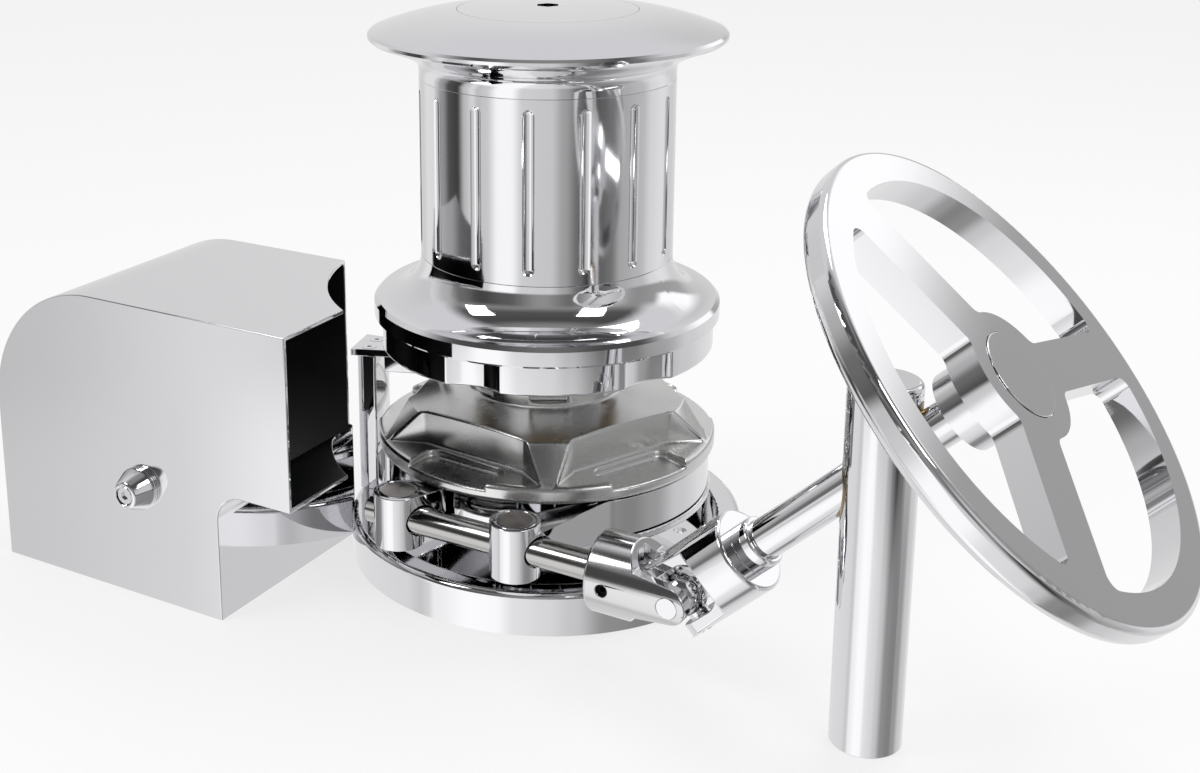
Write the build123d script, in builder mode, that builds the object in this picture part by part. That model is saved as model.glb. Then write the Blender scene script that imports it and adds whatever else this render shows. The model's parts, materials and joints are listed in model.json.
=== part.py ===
from build123d import *
import math
import os

os.makedirs("parts", exist_ok=True)

# Vertical anchor windlass. The origin is on the deck, on the axis of the main shaft.
# X runs along the brake screw towards the handwheel, the screw lies on the -Y side, +Z is up.
# All sizes are in millimetres, all angles in degrees.

# Clearances shared by all pieces
run_play = 0.05  # radial play of a shaft in its bush
seat_play = 0.02  # radial play of a piece that is clamped on a shaft
face_gap = 0.3  # gap between faces that turn past each other

# Base dish
base_radius = 160.0
base_height = 34.0
base_land = 19.0
base_floor = 9.0
base_round = 5.0
base_boss_radius = 46.0
base_boss_top = 50.0
base_bolt_circle = 112.0
base_bolt_hole = 5.5
base_bolt_count = 6

# Main shaft and its bearings
shaft_radius = 20.0
shaft_bottom = 2.0
shaft_socket_radius = 11.0
shaft_socket_depth = 45.0
bush_wall = 7.0
lower_bush_bottom = 4.0
seal_height = 6.0
seal_radius = 31.0
washer_thickness = 3.0
washer_radius = 44.0
key_width = 10.0
key_length = 40.0
key_depth = 4.0

# Brake drum and chain wheel
drum_radius = 122.0
drum_wall = 12.0
drum_lip_radius = 134.6
drum_lip_bottom = 56.0
drum_lip_thickness = 6.0
drum_hub_radius = 42.0
drum_web = 11.0
wheel_bottom = 95.0
wheel_radius = 137.0
wheel_lip = 12.0
wheel_ledge = 14.0
wheel_slot_floor = 8.5
wheel_flat_distance = 97.5
wheel_flat_half = 47.0
wheel_slot_half = 36.0
wheel_crown = 40.0
wheel_tooth_radius = 131.0
wheel_tooth_tip = 14.0
wheel_pockets = 5
wheel_turn = -59.8
wheel_boss_radius = 62.0
wheel_boss_height = 77.0
wheel_cone_foot = 45.5
wheel_cone_height = 19.0
wheel_cone_bottom_radius = 56.0
wheel_cone_top_radius = 50.0
boss_notches = 6
boss_notch_width = 30.0
boss_notch_depth = 7.0
boss_notch_foot = 6.0

# Clutch ring and cone under the rope drum
ring_bottom = 180.0
ring_thickness = 23.0
ring_radius = 133.5
ring_lobes = 6
ring_lobe_turn = -55.3
ring_scallop_radius = 48.0
ring_scallop_depth = 7.5
cone_outer_radius = 64.0
ring_screw_circle = 98.0
ring_screw_radius = 4.0

# Rope drum: base flange, fluted barrel, hat flange and cap nut
flange_radius = 138.0
flange_rim = 16.0
flange_flare = 34.5
barrel_radius = 100.0
barrel_height = 142.0
barrel_wall = 10.0
barrel_hub_radius = 34.0
barrel_hub_height = 70.0
barrel_web = 12.0
flute_count = 15
flute_turn = -68.7
flute_width = 9.6
flute_depth = 2.2
flute_end_margin = 8.0
hat_radius = 139.0
hat_neck = 5.0
hat_rim_height = 29.0
hat_rim_thickness = 6.5
hat_crown = 51.0
hat_wall = 11.0
cap_radius = 70.0
cap_depth = 6.0
cap_rise = 2.5
cap_stem_radius = 32.0
cap_stem_length = 40.0
cap_hex = 16.0
cap_hex_depth = 9.0

# Brake band, its ears and trunnions
band_bottom = 63.0
band_width = 30.0
band_thickness = 5.5
lining_thickness = 3.2
brake_gap = 2.0
fixed_band_end = -44.0
live_band_end = -97.8
anchor_distance = 143.5
anchor_radius = 8.0
anchor_boss_wall = 3.0
anchor_eye_radius = 13.0
screw_distance = 148.0
screw_height = 72.3
nut_reach = -46.0
plain_reach = 57.0
trunnion_radius = 16.0
trunnion_eye_wall = 3.2
trunnion_top = 93.0
trunnion_bottom = 50.5
ear_drop = 8.0
screw_radius = 11.0
screw_tail = 26.0
nut_play = 1.2

# Universal joint
joint_reach = 193.2
yoke_radius = 30.0
yoke_length = 65.0
yoke_crotch = 34.0
yoke_slot_half = 18.5
yoke_arm_half = 13.5
yoke_root_half = 17.0
yoke_shoulder = 6.0
yoke_shoulder_back = 2.0
yoke_pin_radius = 7.5
yoke_ball_radius = 17.0
pin_recess = 0.4
set_screw_radius = 4.5
set_screw_place = 50.0
set_screw_sink = 3.0

# Inclined wheel shaft, its post and the handwheel
shaft_rise = 43.2
wheel_shaft_radius = 14.0
wheel_reach = 296.0
collar_radius = 18.0
collar_length = 14.0
post_reach = 327.0
post_radius = 24.15
post_wall = 4.0
post_height = 250.0
post_cap = 6.0
post_foot = 20.0
post_foot_hole = 5.1
post_bush_radius = 18.0
hand_radius = 166.0
hand_thickness = 21.0
hand_rim = 24.0
hand_front_round = 4.5
hand_back_round = 8.0
hand_hub_radius = 44.0
hand_spoke = 35.0
hand_corner = 8.0
hand_spokes = 3
hand_turn = -14.5
hand_boss_radius = 27.0
hand_boss_length = 24.0
hub_cap_radius = 30.0
hub_cap_depth = 5.0
hub_nut_flats = 30.0
hub_nut_height = 10.0

# Chain pipe hood
hood_back = -368.0
hood_foot_front = -144.0
hood_mouth = -75.0
hood_near = -245.0
hood_far = -70.0
hood_height = 240.0
hood_shelf = 105.0
hood_shelf_bend = 23.0
hood_back_bend = 106.0
hood_sheet = 3.0
pipe_center_x = -262.0
pipe_center_y = -157.5
pipe_radius = 44.0
pipe_flange_radius = 74.0
pipe_flange_thickness = 8.0
pipe_rim_height = 18.0
pipe_rim_wall = 5.0
pipe_bolt_circle = 62.0
pipe_bolt_hole = 3.3
knob_x = -219.0
knob_height = 93.0
knob_radius = 14.0
knob_length = 13.0
knob_washer_radius = 17.0
knob_washer_thickness = 2.0
knob_screw_radius = 7.5
knob_screw_head = 6.0
knob_thread_radius = 4.0
knob_hex = 6.0
bracket_width = 40.0
bracket_sheet = 6.0

# Chain stripper behind the wheel
stripper_turn = 194.0
stripper_post_place = 150.0
stripper_post_depth = 16.0
stripper_post_width = 34.0
stripper_clear = 4.0
stripper_finger_height = 14.0
stripper_plate = 6.0
stripper_inner = 84.0
stripper_outer = 163.0
stripper_screw_radius = 3.0
stripper_screw_spacing = 18.0

# Levels that follow from the sizes above
recess_radius = base_radius - base_land
hood_notch_radius = base_radius + face_gap
bush_radius = shaft_radius + bush_wall
drum_bottom = base_boss_top + washer_thickness + face_gap
wheel_crown_top = wheel_bottom + wheel_crown
boss_top = wheel_bottom + wheel_boss_height
cone_top = boss_top + 3.0 + wheel_cone_height
flange_bottom = ring_bottom + ring_thickness
barrel_bottom = flange_bottom + flange_rim + flange_flare
barrel_top = barrel_bottom + barrel_height
hat_top = barrel_top + hat_crown
cap_bottom = hat_top - cap_depth
shaft_top = cap_bottom - 6.0
band_top = band_bottom + band_width
band_outer = drum_radius + brake_gap + lining_thickness + band_thickness
band_inner = band_outer - band_thickness
eye_radius = trunnion_radius + trunnion_eye_wall
joint_point = Vector(joint_reach, -screw_distance, screw_height)
rise = math.radians(shaft_rise)
shaft_line = Vector(math.cos(rise), 0, math.sin(rise))
wheel_face = joint_point + shaft_line * wheel_reach
screw_plane = Plane(origin=joint_point, x_dir=(0, 1, 0), z_dir=(1, 0, 0))
shaft_plane = Plane(origin=joint_point, x_dir=(0, 1, 0), z_dir=shaft_line)
hand_plane = Plane(origin=wheel_face, x_dir=(0, 1, 0), z_dir=shaft_line)


def around(radius, angle, height=0.0):
    """Point at a radius and an angle about the main shaft."""
    turn = math.radians(angle)
    return Vector(radius * math.cos(turn), radius * math.sin(turn), height)


def wedge(start, end, reach=400.0):
    """Corners of a wedge that covers the angles from start to end."""
    middle = (start + end) / 2
    outline = [around(reach, a) for a in (start, (start + middle) / 2, middle, (middle + end) / 2, end)]
    return [(0, 0)] + [(p.X, p.Y) for p in outline]


# Base dish with the lower bearing boss
with BuildPart() as base_plate:
    with BuildSketch(Plane.XZ):
        with BuildLine():
            Polyline(
                (bush_radius, 0),
                (base_radius, 0),
                (base_radius, base_height),
                (recess_radius, base_height),
                (recess_radius, base_floor),
                (base_boss_radius, base_floor),
                (base_boss_radius, base_boss_top),
                (seal_radius, base_boss_top),
                (seal_radius, base_boss_top - seal_height),
                (bush_radius, base_boss_top - seal_height),
                close=True,
            )
        make_face()
    revolve(axis=Axis.Z)
    rims = base_plate.edges().filter_by(GeomType.CIRCLE)
    high_rims = rims.filter_by(lambda e: e.center().Z > base_height / 2)
    outer_top = high_rims.filter_by(lambda e: abs(e.radius - base_radius) < 1e-3)
    inner_top = high_rims.filter_by(lambda e: abs(e.radius - recess_radius) < 1e-3)
    fillet(outer_top, base_round)
    fillet(inner_top, base_round / 2)
    with BuildSketch(Plane.XY):
        with PolarLocations(base_bolt_circle, base_bolt_count, start_angle=30):
            Circle(base_bolt_hole)
    extrude(amount=base_floor, mode=Mode.SUBTRACT)
    with BuildSketch(Plane.XY.offset(base_floor)):
        with Locations((0, anchor_distance)):
            Circle(anchor_radius + anchor_boss_wall)
    extrude(amount=base_height - base_floor)
    with BuildSketch(Plane.XY.offset(base_height)):
        with Locations((0, anchor_distance)):
            Circle(anchor_radius)
    extrude(amount=-base_floor, mode=Mode.SUBTRACT)
base_plate.part.label = "base_plate"
export_step(base_plate.part, "parts/base_plate.step")

with BuildPart() as lower_bush:
    with BuildSketch(Plane.XY.offset(lower_bush_bottom)):
        Circle(bush_radius)
        Circle(shaft_radius + run_play, mode=Mode.SUBTRACT)
    extrude(amount=base_boss_top - seal_height - lower_bush_bottom)
lower_bush.part.label = "lower_bush"
export_step(lower_bush.part, "parts/lower_bush.step")

with BuildPart() as shaft_seal:
    with BuildSketch(Plane.XY.offset(base_boss_top - seal_height)):
        Circle(seal_radius)
        Circle(shaft_radius + run_play, mode=Mode.SUBTRACT)
    extrude(amount=seal_height)
shaft_seal.part.label = "shaft_seal"
export_step(shaft_seal.part, "parts/shaft_seal.step")

with BuildPart() as thrust_washer:
    with BuildSketch(Plane.XY.offset(base_boss_top)):
        Circle(washer_radius)
        Circle(shaft_radius + face_gap, mode=Mode.SUBTRACT)
    extrude(amount=washer_thickness)
thrust_washer.part.label = "thrust_washer"
export_step(thrust_washer.part, "parts/thrust_washer.step")

# Main shaft with the key seat for the rope drum and a keyed socket for the drive below the deck
key_bottom = barrel_bottom + barrel_web
with BuildPart() as main_shaft:
    with BuildSketch(Plane.XY.offset(shaft_bottom)):
        Circle(shaft_radius)
    extrude(amount=shaft_top - shaft_bottom)
    chamfer(main_shaft.faces().sort_by(Axis.Z)[-1].edges(), 1.5)
    with BuildSketch(Plane.XY.offset(shaft_bottom)):
        Circle(shaft_socket_radius)
        with Locations((shaft_socket_radius, 0)):
            Rectangle(6, 6)
    extrude(amount=shaft_socket_depth, mode=Mode.SUBTRACT)
    with BuildSketch(Plane.XY.offset(key_bottom)):
        with Locations((shaft_radius, 0)):
            Rectangle(2 * key_depth, key_width)
    extrude(amount=key_length, mode=Mode.SUBTRACT)
main_shaft.part.label = "main_shaft"
export_step(main_shaft.part, "parts/main_shaft.step")

with BuildPart() as drum_key:
    with BuildSketch(Plane.XY.offset(key_bottom)):
        with Locations((shaft_radius, 0)):
            Rectangle(2 * key_depth, key_width)
    extrude(amount=key_length)
drum_key.part.label = "drum_key"
export_step(drum_key.part, "parts/drum_key.step")

# Brake drum: a flanged ring on a web, under the chain wheel
with BuildPart() as brake_drum:
    with BuildSketch(Plane.XZ):
        with BuildLine():
            Polyline(
                (bush_radius, drum_bottom),
                (drum_hub_radius, drum_bottom),
                (drum_hub_radius, wheel_bottom - drum_web),
                (drum_radius - drum_wall, wheel_bottom - drum_web),
                (drum_radius - drum_wall, drum_lip_bottom),
                (drum_lip_radius, drum_lip_bottom),
                (drum_lip_radius, drum_lip_bottom + drum_lip_thickness),
                (drum_radius, drum_lip_bottom + drum_lip_thickness),
                (drum_radius, wheel_bottom),
                (bush_radius, wheel_bottom),
                close=True,
            )
        make_face()
    revolve(axis=Axis.Z)
    drum_rims = brake_drum.edges().filter_by(GeomType.CIRCLE)
    lip = drum_rims.filter_by(lambda e: abs(e.radius - drum_lip_radius) < 1e-3)
    fillet(lip, 1.5)
brake_drum.part.label = "brake_drum"
export_step(brake_drum.part, "parts/brake_drum.step")

# Chain wheel with five open pockets between sloping teeth
tooth_side = math.radians(180 / wheel_pockets)
tip_out = wheel_tooth_radius * math.cos(tooth_side) + wheel_tooth_tip / 2 * math.sin(tooth_side)
tip_across = wheel_tooth_radius * math.sin(tooth_side) - wheel_tooth_tip / 2 * math.cos(tooth_side)
past_out = tip_out + 30 * math.cos(tooth_side)
past_across = tip_across + 30 * math.sin(tooth_side)
with BuildPart() as gypsy:
    with BuildSketch(Plane.XZ):
        with BuildLine():
            Polyline(
                (bush_radius, wheel_bottom),
                (wheel_radius - 2, wheel_bottom),
                (wheel_radius, wheel_bottom + 2),
                (wheel_radius, wheel_bottom + wheel_lip),
                (wheel_tooth_radius + 2, wheel_bottom + wheel_ledge),
                (wheel_tooth_radius - 18, wheel_crown_top - 1.5),
                (wheel_tooth_radius - 20, wheel_crown_top),
                (wheel_boss_radius + 6, wheel_bottom + wheel_cone_foot),
                (wheel_boss_radius, wheel_bottom + wheel_cone_foot + 2),
                (wheel_boss_radius, boss_top - 3),
                (wheel_boss_radius - 3, boss_top),
                (wheel_cone_bottom_radius, boss_top),
                (wheel_cone_bottom_radius, boss_top + 3),
                (wheel_cone_top_radius, cone_top),
                (bush_radius, cone_top),
                close=True,
            )
        make_face()
    revolve(axis=Axis.Z)
    for pocket in range(wheel_pockets):
        pocket_angle = wheel_turn + 180 / wheel_pockets + pocket * 360 / wheel_pockets
        turned = Plane.XY.rotated((0, 0, pocket_angle))
        with BuildSketch(turned.offset(wheel_bottom + wheel_ledge)):
            Polygon(
                (wheel_flat_distance, -wheel_flat_half),
                (wheel_flat_distance, wheel_flat_half),
                (tip_out, tip_across),
                (past_out, past_across),
                (past_out, -past_across),
                (tip_out, -tip_across),
                align=None,
            )
        extrude(amount=wheel_crown, mode=Mode.SUBTRACT)
        with BuildSketch(turned.offset(wheel_bottom + wheel_slot_floor)):
            with Locations((wheel_flat_distance + 6 + wheel_flat_distance / 2, 0)):
                RectangleRounded(wheel_flat_distance, 2 * wheel_slot_half, 9)
        extrude(amount=wheel_crown, mode=Mode.SUBTRACT)
    for notch in range(boss_notches):
        notch_angle = wheel_turn + 1.5 + notch * 360 / boss_notches
        turned = Plane.XY.rotated((0, 0, notch_angle))
        with BuildSketch(turned.offset(wheel_bottom + wheel_cone_foot + boss_notch_foot)):
            with Locations((wheel_boss_radius, 0)):
                Rectangle(2 * boss_notch_depth, boss_notch_width)
        extrude(amount=wheel_boss_height, mode=Mode.SUBTRACT)
gypsy.part.label = "gypsy"
export_step(gypsy.part, "parts/gypsy.step")

with BuildPart() as gypsy_bush:
    with BuildSketch(Plane.XY.offset(drum_bottom)):
        Circle(bush_radius)
        Circle(shaft_radius + run_play, mode=Mode.SUBTRACT)
    extrude(amount=cone_top - drum_bottom)
gypsy_bush.part.label = "gypsy_bush"
export_step(gypsy_bush.part, "parts/gypsy_bush.step")

# Clutch cone: a bronze ring whose bore seats on the cone of the chain wheel
with BuildPart() as clutch_cone:
    with BuildSketch(Plane.XZ):
        with BuildLine():
            Polyline(
                (wheel_cone_bottom_radius + face_gap, boss_top + 3),
                (cone_outer_radius, boss_top + 3),
                (cone_outer_radius, flange_bottom),
                (wheel_cone_top_radius + face_gap, flange_bottom),
                (wheel_cone_top_radius + face_gap, cone_top),
                close=True,
            )
        make_face()
    revolve(axis=Axis.Z)
clutch_cone.part.label = "clutch_cone"
export_step(clutch_cone.part, "parts/clutch_cone.step")

with BuildPart() as clutch_ring:
    with BuildSketch(Plane.XY.offset(ring_bottom)):
        Circle(ring_radius)
        valley_angle = ring_lobe_turn + 180 / ring_lobes
        valley_distance = ring_radius + ring_scallop_radius - ring_scallop_depth
        with PolarLocations(valley_distance, ring_lobes, start_angle=valley_angle):
            Circle(ring_scallop_radius, mode=Mode.SUBTRACT)
        Circle(cone_outer_radius + seat_play, mode=Mode.SUBTRACT)
        with PolarLocations(ring_screw_circle, ring_lobes, start_angle=ring_lobe_turn):
            Circle(ring_screw_radius + seat_play, mode=Mode.SUBTRACT)
    extrude(amount=ring_thickness)
    rim_edges = clutch_ring.edges().group_by(Axis.Z)[0]
    outer_rim = rim_edges.filter_by(lambda e: e.center().X ** 2 + e.center().Y ** 2 > 110 ** 2)
    chamfer(outer_rim, 1.2)
    with BuildSketch(Plane.XY.offset(ring_bottom)):
        with PolarLocations(ring_screw_circle, ring_lobes, start_angle=ring_lobe_turn):
            Circle(2 * ring_screw_radius + seat_play)
    extrude(amount=ring_screw_radius, mode=Mode.SUBTRACT)
clutch_ring.part.label = "clutch_ring"
export_step(clutch_ring.part, "parts/clutch_ring.step")

screw_grip = 14.0
with BuildPart() as ring_screws:
    with BuildSketch(Plane.XY.offset(ring_bottom)):
        with PolarLocations(ring_screw_circle, ring_lobes, start_angle=ring_lobe_turn):
            Circle(2 * ring_screw_radius)
    extrude(amount=ring_screw_radius)
    with BuildSketch(Plane.XY.offset(ring_bottom + ring_screw_radius)):
        with PolarLocations(ring_screw_circle, ring_lobes, start_angle=ring_lobe_turn):
            Circle(ring_screw_radius)
    extrude(amount=ring_thickness - ring_screw_radius + screw_grip)
    with BuildSketch(Plane.XY.offset(ring_bottom)):
        with PolarLocations(ring_screw_circle, ring_lobes, start_angle=ring_lobe_turn):
            RegularPolygon(ring_screw_radius, 6)
    extrude(amount=ring_screw_radius / 2, mode=Mode.SUBTRACT)
ring_screws.part.label = "ring_screws"
export_step(ring_screws.part, "parts/ring_screws.step")

# Base flange of the rope drum, with a concave flare up to the barrel
flare_top = barrel_bottom
flare_foot = flange_bottom + flange_rim
with BuildPart() as drum_flange:
    with BuildSketch(Plane.XZ):
        with BuildLine():
            Polyline(
                (barrel_hub_radius + seat_play, flange_bottom),
                (flange_radius - 2, flange_bottom),
                (flange_radius, flange_bottom + 2),
                (flange_radius, flare_foot - 3),
                (flange_radius - 3, flare_foot),
                (barrel_radius + flange_flare, flare_foot),
            )
            RadiusArc((barrel_radius + flange_flare, flare_foot), (barrel_radius, flare_top), flange_flare)
            Polyline(
                (barrel_radius, flare_top),
                (barrel_radius - barrel_wall, flare_top),
                (barrel_radius - barrel_wall, flange_bottom + flange_rim),
                (barrel_hub_radius + seat_play, flange_bottom + flange_rim),
                (barrel_hub_radius + seat_play, flange_bottom),
            )
        make_face()
    revolve(axis=Axis.Z)
    with BuildSketch(Plane.XY.offset(flange_bottom)):
        with PolarLocations(ring_screw_circle, ring_lobes, start_angle=ring_lobe_turn):
            Circle(ring_screw_radius + seat_play)
    extrude(amount=screw_grip, mode=Mode.SUBTRACT)
drum_flange.part.label = "drum_flange"
export_step(drum_flange.part, "parts/drum_flange.step")

# Fluted barrel with a keyed hub
flute_radius = (flute_width ** 2 / 4 + flute_depth ** 2) / (2 * flute_depth)
flute_low = barrel_bottom + flute_end_margin
flute_high = barrel_top - flute_end_margin
hub_bottom = flange_bottom - 1.0
with BuildPart() as barrel:
    with BuildSketch(Plane.XZ):
        with BuildLine():
            Polyline(
                (shaft_radius + seat_play, hub_bottom),
                (barrel_hub_radius, hub_bottom),
                (barrel_hub_radius, barrel_bottom),
                (barrel_radius, barrel_bottom),
                (barrel_radius, barrel_top),
                (barrel_radius - barrel_wall, barrel_top),
                (barrel_radius - barrel_wall, barrel_bottom + barrel_web),
                (barrel_hub_radius, barrel_bottom + barrel_web),
                (barrel_hub_radius, barrel_bottom + barrel_hub_height),
                (shaft_radius + seat_play, barrel_bottom + barrel_hub_height),
                close=True,
            )
        make_face()
    revolve(axis=Axis.Z)
    round_edges = barrel.edges().filter_by(GeomType.CIRCLE)
    chamfer(round_edges.filter_by(lambda e: abs(e.radius - barrel_radius) < 1e-3), 0.6)
    with BuildSketch(Plane.XY.offset(key_bottom)):
        with Locations((shaft_radius, 0)):
            Rectangle(2 * key_depth, key_width)
    extrude(amount=barrel_hub_height, mode=Mode.SUBTRACT)
    with PolarLocations(barrel_radius + flute_radius - flute_depth, flute_count, start_angle=flute_turn):
        with Locations((0, 0, (flute_low + flute_high) / 2)):
            Cylinder(flute_radius, flute_high - flute_low - flute_width, mode=Mode.SUBTRACT)
        with Locations((0, 0, flute_low + flute_width / 2), (0, 0, flute_high - flute_width / 2)):
            Sphere(flute_radius, mode=Mode.SUBTRACT)
barrel.part.label = "barrel"
export_step(barrel.part, "parts/barrel.step")

# Hat flange that keeps the rope on the barrel
rim_low = barrel_top + hat_rim_height
rim_high = rim_low + hat_rim_thickness
with BuildPart() as hat_flange:
    with BuildSketch(Plane.XZ):
        with BuildLine():
            Line((barrel_radius - barrel_wall, barrel_top), (barrel_radius, barrel_top))
            Line((barrel_radius, barrel_top), (barrel_radius, barrel_top + hat_neck))
            Spline(
                (barrel_radius, barrel_top + hat_neck),
                (barrel_radius + 10, barrel_top + 0.62 * hat_rim_height),
                (hat_radius - 2, rim_low),
                tangents=[(0, 1), (1, 0.3)],
            )
            Line((hat_radius - 2, rim_low), (hat_radius, rim_low + 2))
            Line((hat_radius, rim_low + 2), (hat_radius, rim_high - 2))
            Line((hat_radius, rim_high - 2), (hat_radius - 2, rim_high))
            ThreePointArc(
                (hat_radius - 2, rim_high),
                ((hat_radius + cap_radius) / 2, (rim_high + hat_top) / 2 + 2.2),
                (cap_radius + face_gap, hat_top),
            )
            Polyline(
                (cap_radius + face_gap, hat_top),
                (cap_radius + face_gap, cap_bottom),
                (cap_stem_radius + face_gap, cap_bottom),
                (cap_stem_radius + face_gap, cap_bottom - hat_wall),
                (barrel_radius - 2 * barrel_wall, cap_bottom - hat_wall - 8),
                (barrel_radius - barrel_wall, barrel_top + hat_rim_height / 2),
                (barrel_radius - barrel_wall, barrel_top),
            )
        make_face()
    revolve(axis=Axis.Z)
hat_flange.part.label = "hat_flange"
export_step(hat_flange.part, "parts/hat_flange.step")

# Cap nut that loads the clutch, with a hexagon socket for the lever
with BuildPart() as cap_nut:
    with BuildSketch(Plane.XZ):
        with BuildLine():
            ThreePointArc(
                (0, hat_top + cap_rise),
                (cap_radius / 2, hat_top + 0.75 * cap_rise),
                (cap_radius, hat_top),
            )
            Polyline(
                (cap_radius, hat_top),
                (cap_radius, cap_bottom + face_gap),
                (cap_stem_radius, cap_bottom + face_gap),
                (cap_stem_radius, cap_bottom - cap_stem_length),
                (shaft_radius + run_play, cap_bottom - cap_stem_length),
                (shaft_radius + run_play, shaft_top + 1),
                (0, shaft_top + 1),
                (0, hat_top + cap_rise),
            )
        make_face()
    revolve(axis=Axis.Z)
    with BuildSketch(Plane.XY.offset(hat_top + cap_rise)):
        RegularPolygon(cap_hex / 2, 6, major_radius=False)
    extrude(amount=-cap_hex_depth, mode=Mode.SUBTRACT)
cap_nut.part.label = "cap_nut"
export_step(cap_nut.part, "parts/cap_nut.step")

# Brake band halves, pinned together at the back, each with an ear and an eye for its trunnion
eye_levels = {"fixed_band": (band_bottom, band_bottom + band_width / 2 - 0.5)}
eye_levels["live_band"] = (band_bottom + band_width / 2 + 0.5, band_top)
band_sides = {
    "fixed_band": (fixed_band_end, 86.0, 1, plain_reach, ear_drop),
    "live_band": (94.0, 360 + live_band_end, -1, nut_reach, 0.0),
}
for band_name, (band_start, band_stop, side, trunnion_x, drop) in band_sides.items():
    ear_angle = band_start if side > 0 else band_stop
    eye_low, eye_high = eye_levels[band_name]
    ear_root = around((band_outer + band_inner) / 2, ear_angle, band_top)
    ear_run = Vector(trunnion_x, -screw_distance, band_top) - ear_root
    ear_slope = Vector(ear_run.X, ear_run.Y, -drop)
    ear_cross = Vector(0, 0, 1).cross(ear_slope)
    slope_normal = ear_slope.cross(ear_cross)
    with BuildPart() as band:
        with BuildSketch(Plane.XY.offset(band_bottom)):
            with BuildLine():
                CenterArc((trunnion_x, -screw_distance), eye_radius, 0, 360)
                CenterArc((0, 0), band_outer, ear_angle, side * 4.0)
                CenterArc((0, 0), band_inner, ear_angle, side * 4.0)
            make_hull()
            Circle(band_inner, mode=Mode.SUBTRACT)
        extrude(amount=band_width)
        split(bisect_by=Plane(origin=ear_root, z_dir=slope_normal), keep=Keep.BOTTOM)
        with BuildSketch(Plane.XY.offset(band_bottom)):
            Circle(band_outer)
            Circle(band_inner, mode=Mode.SUBTRACT)
            Polygon(*wedge(band_start, band_stop), align=None, mode=Mode.INTERSECT)
        extrude(amount=band_width)
        with BuildSketch(Plane.XY.offset(eye_low)):
            with BuildLine():
                CenterArc((0, anchor_distance), anchor_eye_radius, 0, 360)
                CenterArc((0, 0), band_outer, 90 - side * 16, side * 8)
            make_hull()
            Circle(band_inner, mode=Mode.SUBTRACT)
        extrude(amount=eye_high - eye_low)
        with BuildSketch(Plane.XY.offset(trunnion_bottom)):
            with Locations((trunnion_x, -screw_distance)):
                Circle(eye_radius)
        extrude(amount=trunnion_top - trunnion_bottom)
        with BuildSketch(Plane.XY.offset(trunnion_bottom)):
            with Locations((trunnion_x, -screw_distance)):
                Circle(trunnion_radius + run_play)
        extrude(amount=2 * band_width, mode=Mode.SUBTRACT)
        with BuildSketch(Plane.XY.offset(eye_low)):
            with Locations((0, anchor_distance)):
                Circle(anchor_radius + run_play)
        extrude(amount=eye_high - eye_low, mode=Mode.SUBTRACT)
        bore_place = (trunnion_x - 2 * eye_radius, -screw_distance, screw_height)
        with BuildSketch(Plane(origin=bore_place, z_dir=(1, 0, 0))):
            Circle(screw_radius + nut_play)
        extrude(amount=4 * eye_radius, mode=Mode.SUBTRACT)
    band.part.label = band_name
    export_step(band.part, f"parts/{band_name}.step")

lining_spans = {
    "fixed_lining": (fixed_band_end + 2, 82.0),
    "live_lining": (98.0, 360 + live_band_end - 10),
}
for lining_name, (lining_start, lining_stop) in lining_spans.items():
    with BuildPart() as lining:
        with BuildSketch(Plane.XY.offset(band_bottom + 1)):
            Circle(band_inner)
            Circle(band_inner - lining_thickness, mode=Mode.SUBTRACT)
            Polygon(*wedge(lining_start, lining_stop), align=None, mode=Mode.INTERSECT)
        extrude(amount=band_width - 2)
    lining.part.label = lining_name
    export_step(lining.part, f"parts/{lining_name}.step")

with BuildPart() as anchor_pin:
    with BuildSketch(Plane.XY.offset(base_height - base_floor)):
        with Locations((0, anchor_distance)):
            Circle(anchor_radius)
    extrude(amount=band_top + 3 - base_height + base_floor)
    chamfer(anchor_pin.faces().sort_by(Axis.Z)[-1].edges(), 1)
anchor_pin.part.label = "anchor_pin"
export_step(anchor_pin.part, "parts/anchor_pin.step")

# Trunnions: the plain one turns on the screw, the other one is its nut
trunnions = {"plain_trunnion": (plain_reach, run_play), "nut_trunnion": (nut_reach, nut_play)}
for trunnion_name, (trunnion_x, bore_play) in trunnions.items():
    with BuildPart() as trunnion:
        with BuildSketch(Plane.XY.offset(trunnion_bottom)):
            with Locations((trunnion_x, -screw_distance)):
                Circle(trunnion_radius)
        extrude(amount=trunnion_top - trunnion_bottom)
        chamfer(trunnion.faces().sort_by(Axis.Z)[-1].edges(), 0.8)
        bore_start = Plane(origin=(trunnion_x - eye_radius, -screw_distance, screw_height), z_dir=(1, 0, 0))
        with BuildSketch(bore_start):
            Circle(screw_radius + bore_play)
        extrude(amount=2 * eye_radius, mode=Mode.SUBTRACT)
    trunnion.part.label = trunnion_name
    export_step(trunnion.part, f"parts/{trunnion_name}.step")

screw_start = joint_reach - nut_reach + screw_tail
with BuildPart() as brake_screw:
    with BuildSketch(screw_plane.offset(-screw_start)):
        Circle(screw_radius)
    extrude(amount=screw_start - yoke_crotch)
    chamfer(brake_screw.faces().sort_by(Axis.X)[0].edges(), 1.5)
brake_screw.part.label = "brake_screw"
export_step(brake_screw.part, "parts/brake_screw.step")

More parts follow.
